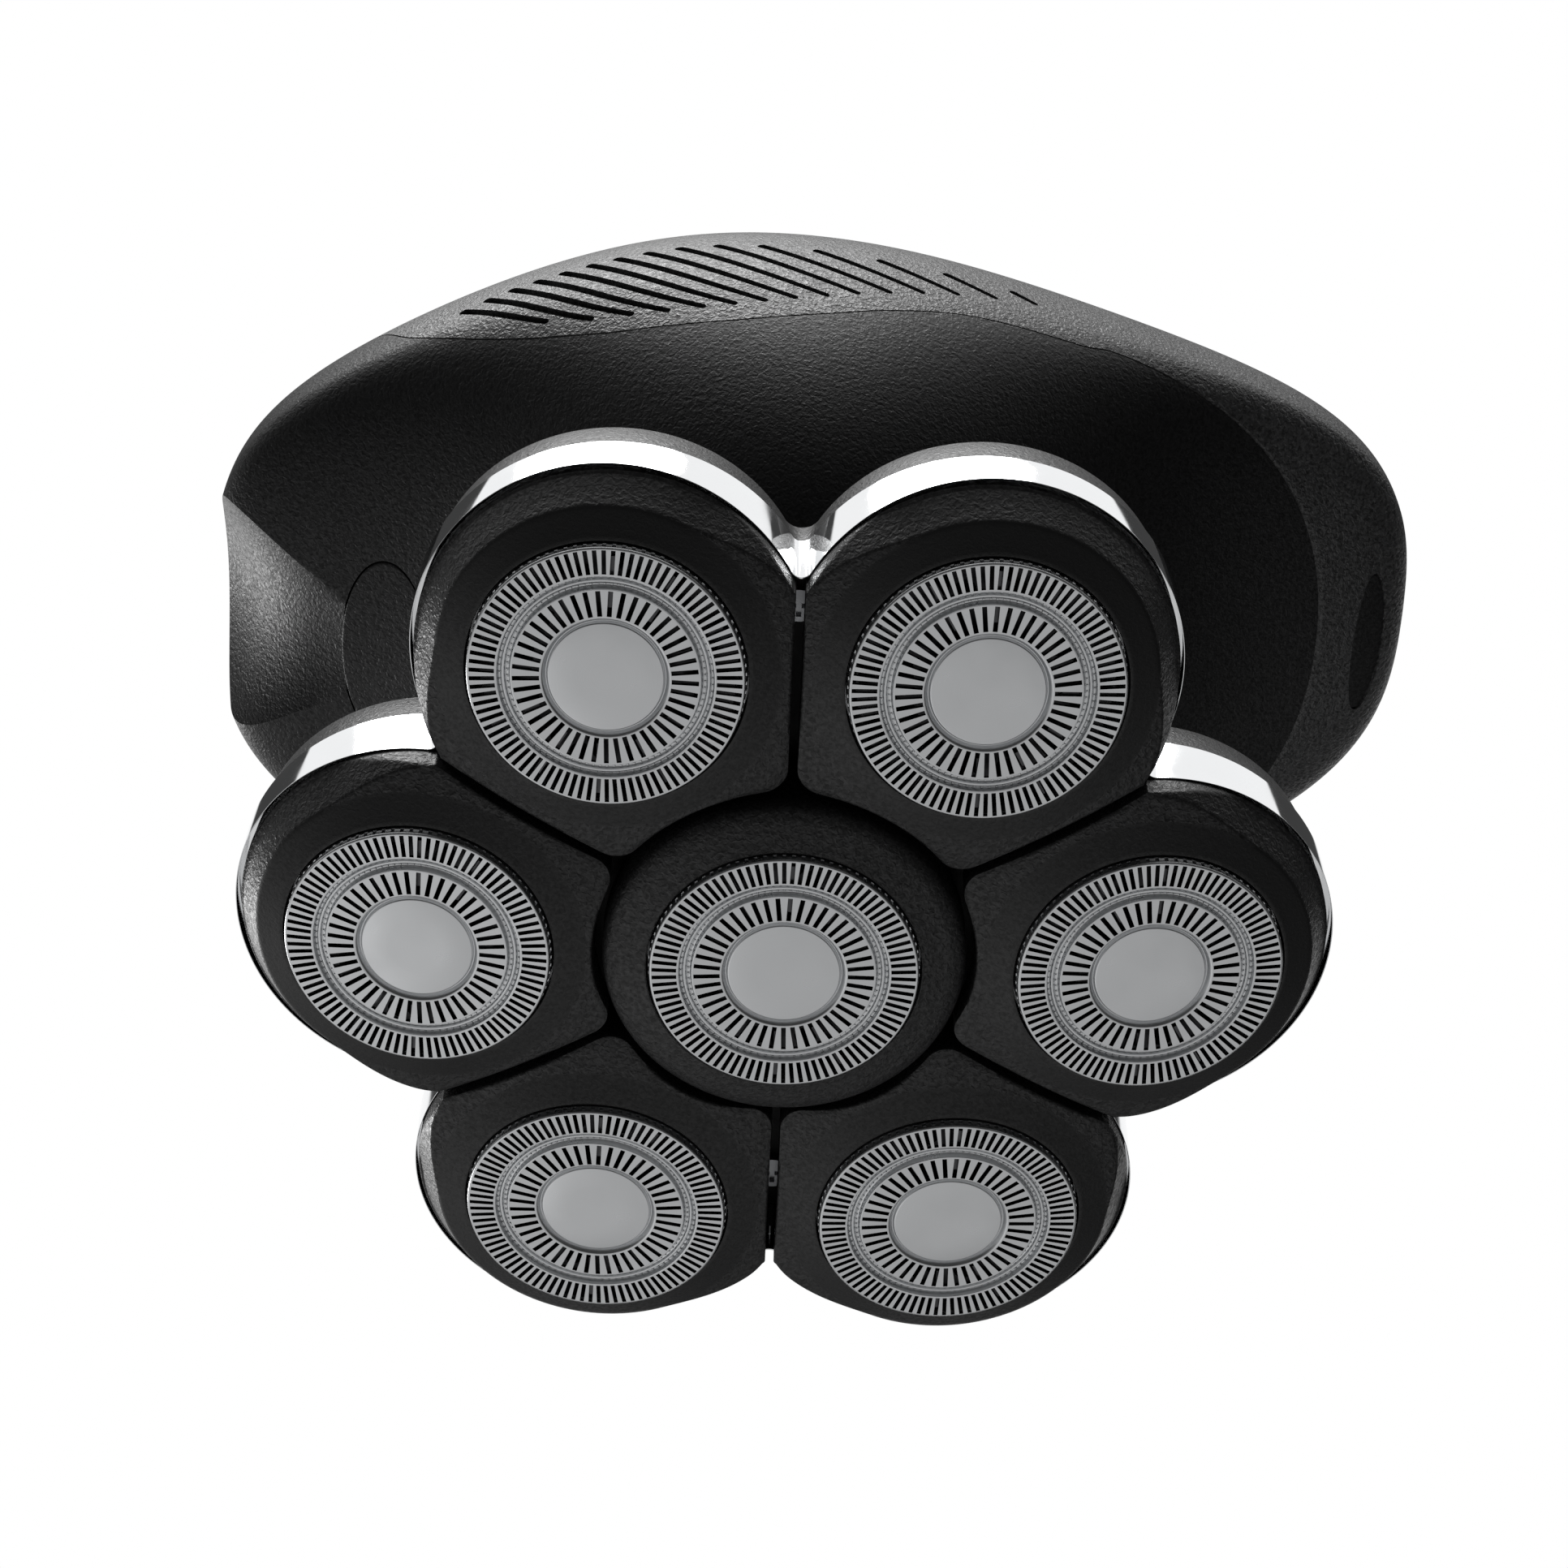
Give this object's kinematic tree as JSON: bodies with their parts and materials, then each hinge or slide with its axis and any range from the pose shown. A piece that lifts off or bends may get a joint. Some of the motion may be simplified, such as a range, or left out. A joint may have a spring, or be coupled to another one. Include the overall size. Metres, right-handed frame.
{
  "type": "rotary electric shaver",
  "caption": "Palm-held rotary electric shaver: slotted round cutters on a ring of tilting petals about a floating centre cutter, with a domed handle.",
  "frame": {"origin": "on the drive axis, in the plane of the centre guard's rim, which is the lowest point when the shaver stands on its cutters", "axes": "+Z from the cutters up through the neck into the palm dome; +X along the handle towards the charging end; the handle is symmetric about the XZ plane"},
  "size_m": [0.102, 0.0754, 0.081],
  "materials": {
    "petal_plastic": "fine moulded grain",
    "steel_guard": "fine ground",
    "steel_blade": "ground",
    "retainer_plastic": "smooth",
    "gear_plastic": "smooth acetal",
    "spindle_steel": "ground",
    "spring_steel": "drawn wire",
    "base_plastic": "fine moulded grain",
    "chrome_band": "polished plating",
    "plate_plastic": "smooth",
    "shell_plastic": "fine moulded grain",
    "cover_plastic": "fine moulded grain",
    "button_plastic": "fine moulded grain",
    "plug_rubber": "textured",
    "socket_metal": "stamped",
    "cell_wrap": "shrink film",
    "board_resin": "solder mask",
    "motor_can": "drawn can"
  },
  "bodies": {
    "head": {"head_base": "base_plastic", "chrome_trim": "chrome_band", "gear_plate": "plate_plastic", "hinge_pins": "spindle_steel", "head_screws": "spindle_steel", "spindle_springs": "spring_steel"},
    "centre_pod": {"centre_ring": "petal_plastic", "guard_0": "steel_guard", "retainer_0": "retainer_plastic"},
    "petal_1": {"pod_1": "petal_plastic", "guard_1": "steel_guard", "retainer_1": "retainer_plastic"},
    "petal_2": {"pod_2": "petal_plastic", "guard_2": "steel_guard", "retainer_2": "retainer_plastic"},
    "petal_3": {"pod_3": "petal_plastic", "guard_3": "steel_guard", "retainer_3": "retainer_plastic"},
    "petal_4": {"pod_4": "petal_plastic", "guard_4": "steel_guard", "retainer_4": "retainer_plastic"},
    "petal_5": {"pod_5": "petal_plastic", "guard_5": "steel_guard", "retainer_5": "retainer_plastic"},
    "petal_6": {"pod_6": "petal_plastic", "guard_6": "steel_guard", "retainer_6": "retainer_plastic"},
    "drive": {"drive_gear": "gear_plastic", "drive_spindle": "spindle_steel"},
    "cutter_drive_1": {"gear_1": "gear_plastic", "spindle_1": "spindle_steel"},
    "cutter_drive_2": {"gear_2": "gear_plastic", "spindle_2": "spindle_steel"},
    "cutter_drive_3": {"gear_3": "gear_plastic", "spindle_3": "spindle_steel"},
    "cutter_drive_4": {"gear_4": "gear_plastic", "spindle_4": "spindle_steel"},
    "cutter_drive_5": {"gear_5": "gear_plastic", "spindle_5": "spindle_steel"},
    "cutter_drive_6": {"gear_6": "gear_plastic", "spindle_6": "spindle_steel"},
    "cutter_0": {"blade_0": "steel_blade"},
    "cutter_1": {"blade_1": "steel_blade"},
    "cutter_2": {"blade_2": "steel_blade"},
    "cutter_3": {"blade_3": "steel_blade"},
    "cutter_4": {"blade_4": "steel_blade"},
    "cutter_5": {"blade_5": "steel_blade"},
    "cutter_6": {"blade_6": "steel_blade"},
    "handle": {"main_shell": "shell_plastic", "palm_cover": "cover_plastic", "charging_socket": "socket_metal", "battery": "cell_wrap", "circuit_board": "board_resin", "motor": "motor_can", "motor_bracket": "plate_plastic", "latch_collar": "base_plastic"},
    "button": {"power_button": "button_plastic"},
    "plug": {"charging_plug": "plug_rubber"},
    "motor_rotor": {"motor_shaft": "spindle_steel"}
  },
  "joints": [
    {"name": "centre_float", "type": "slide", "parent": "head", "child": "centre_pod", "axis": [0, 0, 1], "range_m": [0, 0.001], "stiffness_N_per_m": 3000},
    {"name": "petal_tilt_1", "type": "hinge", "parent": "head", "child": "petal_1", "pos_m": [0.0264, 0, 0.00879], "axis": [0, 1, 0], "range_deg": [-3.5, 3.5], "stiffness_Nm_per_rad": 0.19},
    {"name": "petal_tilt_2", "type": "hinge", "parent": "head", "child": "petal_2", "pos_m": [0.0132, 0.02286, 0.00879], "axis": [-0.866, 0.5, 0], "range_deg": [-3.5, 3.5], "stiffness_Nm_per_rad": 0.19},
    {"name": "petal_tilt_3", "type": "hinge", "parent": "head", "child": "petal_3", "pos_m": [-0.0132, 0.02286, 0.00879], "axis": [-0.866, -0.5, 0], "range_deg": [-3.5, 3.5], "stiffness_Nm_per_rad": 0.19},
    {"name": "petal_tilt_4", "type": "hinge", "parent": "head", "child": "petal_4", "pos_m": [-0.0264, 0, 0.00879], "axis": [0, -1, 0], "range_deg": [-3.5, 3.5], "stiffness_Nm_per_rad": 0.19},
    {"name": "petal_tilt_5", "type": "hinge", "parent": "head", "child": "petal_5", "pos_m": [-0.0132, -0.02286, 0.00879], "axis": [0.866, -0.5, 0], "range_deg": [-3.5, 3.5], "stiffness_Nm_per_rad": 0.19},
    {"name": "petal_tilt_6", "type": "hinge", "parent": "head", "child": "petal_6", "pos_m": [0.0132, -0.02286, 0.00879], "axis": [0.866, 0.5, 0], "range_deg": [-3.5, 3.5], "stiffness_Nm_per_rad": 0.19},
    {"name": "drive_spin", "type": "hinge", "parent": "head", "child": "drive", "pos_m": [0, 0, 0.0127], "axis": [0, 0, 1], "continuous": true},
    {"name": "cutter_drive_spin_1", "type": "hinge", "parent": "head", "child": "cutter_drive_1", "pos_m": [0.02668, 0, 0.0127], "axis": [0, 0, 1], "continuous": true},
    {"name": "cutter_drive_spin_2", "type": "hinge", "parent": "head", "child": "cutter_drive_2", "pos_m": [0.01334, 0.0231, 0.0127], "axis": [0, 0, 1], "continuous": true},
    {"name": "cutter_drive_spin_3", "type": "hinge", "parent": "head", "child": "cutter_drive_3", "pos_m": [-0.01334, 0.0231, 0.0127], "axis": [0, 0, 1], "continuous": true},
    {"name": "cutter_drive_spin_4", "type": "hinge", "parent": "head", "child": "cutter_drive_4", "pos_m": [-0.02668, 0, 0.0127], "axis": [0, 0, 1], "continuous": true},
    {"name": "cutter_drive_spin_5", "type": "hinge", "parent": "head", "child": "cutter_drive_5", "pos_m": [-0.01334, -0.0231, 0.0127], "axis": [0, 0, 1], "continuous": true},
    {"name": "cutter_drive_spin_6", "type": "hinge", "parent": "head", "child": "cutter_drive_6", "pos_m": [0.01334, -0.0231, 0.0127], "axis": [0, 0, 1], "continuous": true},
    {"name": "cutter_spin_0", "type": "hinge", "parent": "centre_pod", "child": "cutter_0", "pos_m": [0, 0, 0.0025], "axis": [0, 0, 1], "continuous": true},
    {"name": "cutter_spin_1", "type": "hinge", "parent": "petal_1", "child": "cutter_1", "pos_m": [0.0269, 0, 0.00412], "axis": [-0.1069, 0, 0.9943], "continuous": true},
    {"name": "cutter_spin_2", "type": "hinge", "parent": "petal_2", "child": "cutter_2", "pos_m": [0.01345, 0.0233, 0.00412], "axis": [-0.0535, -0.0926, 0.9943], "continuous": true},
    {"name": "cutter_spin_3", "type": "hinge", "parent": "petal_3", "child": "cutter_3", "pos_m": [-0.01345, 0.0233, 0.00412], "axis": [0.0535, -0.0926, 0.9943], "continuous": true},
    {"name": "cutter_spin_4", "type": "hinge", "parent": "petal_4", "child": "cutter_4", "pos_m": [-0.0269, 0, 0.00412], "axis": [0.1069, 0, 0.9943], "continuous": true},
    {"name": "cutter_spin_5", "type": "hinge", "parent": "petal_5", "child": "cutter_5", "pos_m": [-0.01345, -0.0233, 0.00412], "axis": [0.0535, 0.0926, 0.9943], "continuous": true},
    {"name": "cutter_spin_6", "type": "hinge", "parent": "petal_6", "child": "cutter_6", "pos_m": [0.01345, -0.0233, 0.00412], "axis": [-0.0535, 0.0926, 0.9943], "continuous": true},
    {"name": "handle_lift", "type": "slide", "parent": "head", "child": "handle", "axis": [0, 0, 1], "range_m": [0, 0.025]},
    {"name": "power_press", "type": "slide", "parent": "handle", "child": "button", "axis": [0.2924, 0, 0.9563], "range_m": [0, 0.0008], "stiffness_N_per_m": 1500},
    {"name": "plug_pull", "type": "slide", "parent": "handle", "child": "plug", "axis": [0.8192, 0, -0.5736], "range_m": [0, 0.006]},
    {"name": "motor_spin", "type": "hinge", "parent": "handle", "child": "motor_rotor", "pos_m": [0, 0, 0.026], "axis": [0, 0, 1], "continuous": true}
  ],
  "couplings": [
    {"joint": "cutter_drive_spin_1", "follows": "drive_spin", "ratio": -1.5},
    {"joint": "cutter_drive_spin_2", "follows": "drive_spin", "ratio": -1.5},
    {"joint": "cutter_drive_spin_3", "follows": "drive_spin", "ratio": -1.5},
    {"joint": "cutter_drive_spin_4", "follows": "drive_spin", "ratio": -1.5},
    {"joint": "cutter_drive_spin_5", "follows": "drive_spin", "ratio": -1.5},
    {"joint": "cutter_drive_spin_6", "follows": "drive_spin", "ratio": -1.5},
    {"joint": "cutter_spin_0", "follows": "drive_spin", "ratio": 1},
    {"joint": "cutter_spin_1", "follows": "drive_spin", "ratio": -1.5},
    {"joint": "cutter_spin_2", "follows": "drive_spin", "ratio": -1.5},
    {"joint": "cutter_spin_3", "follows": "drive_spin", "ratio": -1.5},
    {"joint": "cutter_spin_4", "follows": "drive_spin", "ratio": -1.5},
    {"joint": "cutter_spin_5", "follows": "drive_spin", "ratio": -1.5},
    {"joint": "cutter_spin_6", "follows": "drive_spin", "ratio": -1.5},
    {"joint": "motor_spin", "follows": "drive_spin", "ratio": 1}
  ]
}
